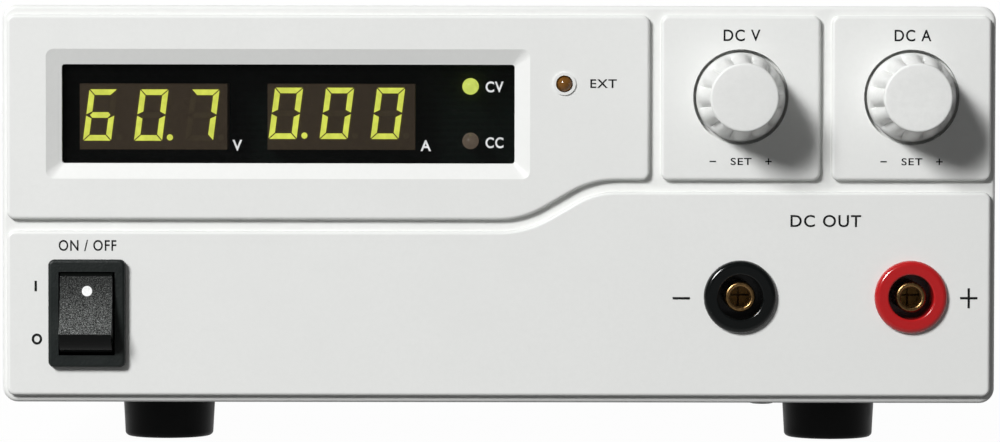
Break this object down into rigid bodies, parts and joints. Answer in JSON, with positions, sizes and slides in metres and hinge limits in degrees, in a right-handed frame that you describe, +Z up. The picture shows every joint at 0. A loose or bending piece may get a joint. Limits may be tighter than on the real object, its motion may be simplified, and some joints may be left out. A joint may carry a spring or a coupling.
{
  "type": "bench power supply",
  "caption": "Bench power supply with a moulded front, two push-and-turn knobs, rocker switch, LED displays, 4 mm sockets and a fan-cooled metal case.",
  "frame": {"origin": "under the middle of the whole object, on the surface it stands on", "axes": "+Z up, the front with the controls faces -Y, +X to the right seen from the front"},
  "size_m": [0.2, 0.252, 0.09],
  "materials": {
    "bezel_plastic": "fine textured light grey moulding",
    "smoked_glass": "smoked polished acrylic",
    "display_black": "dark module housing",
    "lamp_green": "tinted lamp body",
    "lamp_amber": "tinted lamp body",
    "knob_plastic": "pearly light grey moulding",
    "black_plastic": "black moulding",
    "red_plastic": "red moulding",
    "contact_brass": "turned",
    "cover_paint": "dark grey powder coat",
    "zinc_steel": "zinc plated sheet",
    "screw_steel": "plated screws",
    "black_screw": "blackened screws",
    "foot_rubber": "moulded rubber",
    "board_green": "solder mask",
    "sink_aluminium": "extruded",
    "ferrite": "pressed ferrite",
    "winding_copper": "enamelled wire",
    "can_sleeve": "shrink sleeve",
    "fuse_glass": "clear tube",
    "lead_jacket": "soft jacket",
    "ribbon_jacket": "soft grey jacket",
    "slider_white": "white moulding"
  },
  "bodies": {
    "case": {"front_bezel": "bezel_plastic", "display_window": "smoked_glass", "display_board": "board_green", "board_screws": "screw_steel", "voltage_display": "display_black", "current_display": "display_black", "mode_lamps": "lamp_green", "remote_lamp": "lamp_amber", "rotary_encoders": "zinc_steel", "power_switch_body": "black_plastic", "switch_terminals": "contact_brass", "black_socket": "black_plastic", "red_socket": "red_plastic", "socket_contacts": "contact_brass", "socket_nuts": "black_plastic", "chassis_base": "cover_paint", "rear_panel": "cover_paint", "top_cover": "cover_paint", "cover_screws": "black_screw", "underside_screws": "black_screw", "feet": "foot_rubber", "main_board": "board_green", "board_spacers": "contact_brass", "transformer_core": "ferrite", "transformer_winding": "winding_copper", "capacitors": "can_sleeve", "heatsinks": "sink_aluminium", "power_transistors": "black_plastic", "chokes": "winding_copper", "inlet_housing": "black_plastic", "inlet_pins": "contact_brass", "fan_frame": "black_plastic", "fan_guard": "screw_steel", "fan_screws": "black_screw", "red_post_base": "red_plastic", "black_post_base": "black_plastic", "post_studs": "contact_brass", "usb_socket": "zinc_steel", "remote_connector": "screw_steel", "slide_switch_block": "black_plastic", "mains_leads": "lead_jacket", "dc_leads": "lead_jacket", "display_ribbon": "ribbon_jacket"},
    "voltage_push": {"voltage_plunger": "black_plastic"},
    "voltage_dial": {"voltage_knob": "knob_plastic", "voltage_shaft": "zinc_steel"},
    "current_push": {"current_plunger": "black_plastic"},
    "current_dial": {"current_knob": "knob_plastic", "current_shaft": "zinc_steel"},
    "power_rocker": {"power_rocker": "black_plastic"},
    "fan_rotor": {"fan_rotor": "black_plastic"},
    "fuse_drawer": {"fuse_drawer": "black_plastic", "fuse": "fuse_glass"},
    "preset_slider_1": {"preset_slider_1": "slider_white"},
    "preset_slider_2": {"preset_slider_2": "slider_white"},
    "preset_slider_3": {"preset_slider_3": "slider_white"},
    "red_clamp": {"red_post_washer": "contact_brass"},
    "red_cap": {"red_post_cap": "red_plastic"},
    "black_clamp": {"black_post_washer": "contact_brass"},
    "black_cap": {"black_post_cap": "black_plastic"}
  },
  "joints": [
    {"name": "power_rocker_tip", "type": "hinge", "parent": "case", "child": "power_rocker", "pos_m": [-0.0828, -0.10965, 0.028], "axis": [1, 0, 0], "range_deg": [0, 34]},
    {"name": "voltage_push", "type": "slide", "parent": "case", "child": "voltage_push", "axis": [0, 1, 0], "range_m": [0, 0.0005], "stiffness_N_per_m": 800},
    {"name": "voltage_turn", "type": "hinge", "parent": "voltage_push", "child": "voltage_dial", "pos_m": [0.0486, -0.10215, 0.0717], "axis": [0, 1, 0], "continuous": true},
    {"name": "current_push", "type": "slide", "parent": "case", "child": "current_push", "axis": [0, 1, 0], "range_m": [0, 0.0005], "stiffness_N_per_m": 800},
    {"name": "current_turn", "type": "hinge", "parent": "current_push", "child": "current_dial", "pos_m": [0.08295, -0.10215, 0.0717], "axis": [0, 1, 0], "continuous": true},
    {"name": "fan_spin", "type": "hinge", "parent": "case", "child": "fan_rotor", "pos_m": [-0.058, 0.0878, 0.05], "axis": [0, 1, 0], "continuous": true},
    {"name": "fuse_drawer_slide", "type": "slide", "parent": "case", "child": "fuse_drawer", "axis": [0, 1, 0], "range_m": [0, 0.012]},
    {"name": "preset_slider_1_slide", "type": "slide", "parent": "case", "child": "preset_slider_1", "axis": [0, 0, 1], "range_m": [0, 0.0015]},
    {"name": "preset_slider_2_slide", "type": "slide", "parent": "case", "child": "preset_slider_2", "axis": [0, 0, 1], "range_m": [0, 0.0015]},
    {"name": "preset_slider_3_slide", "type": "slide", "parent": "case", "child": "preset_slider_3", "axis": [0, 0, 1], "range_m": [0, 0.0015]},
    {"name": "red_clamp_travel", "type": "slide", "parent": "case", "child": "red_clamp", "axis": [0, 1, 0], "range_m": [0, 0.003]},
    {"name": "red_cap_turn", "type": "hinge", "parent": "red_clamp", "child": "red_cap", "pos_m": [-0.0055, 0.11, 0.032], "axis": [0, 1, 0], "range_deg": [0, 1080]},
    {"name": "black_clamp_travel", "type": "slide", "parent": "case", "child": "black_clamp", "axis": [0, 1, 0], "range_m": [0, 0.003]},
    {"name": "black_cap_turn", "type": "hinge", "parent": "black_clamp", "child": "black_cap", "pos_m": [0.0135, 0.11, 0.032], "axis": [0, 1, 0], "range_deg": [0, 1080]}
  ],
  "couplings": [
    {"joint": "red_cap_turn", "follows": "red_clamp_travel", "rad_per_m": 6283.2},
    {"joint": "black_cap_turn", "follows": "black_clamp_travel", "rad_per_m": 6283.2}
  ]
}
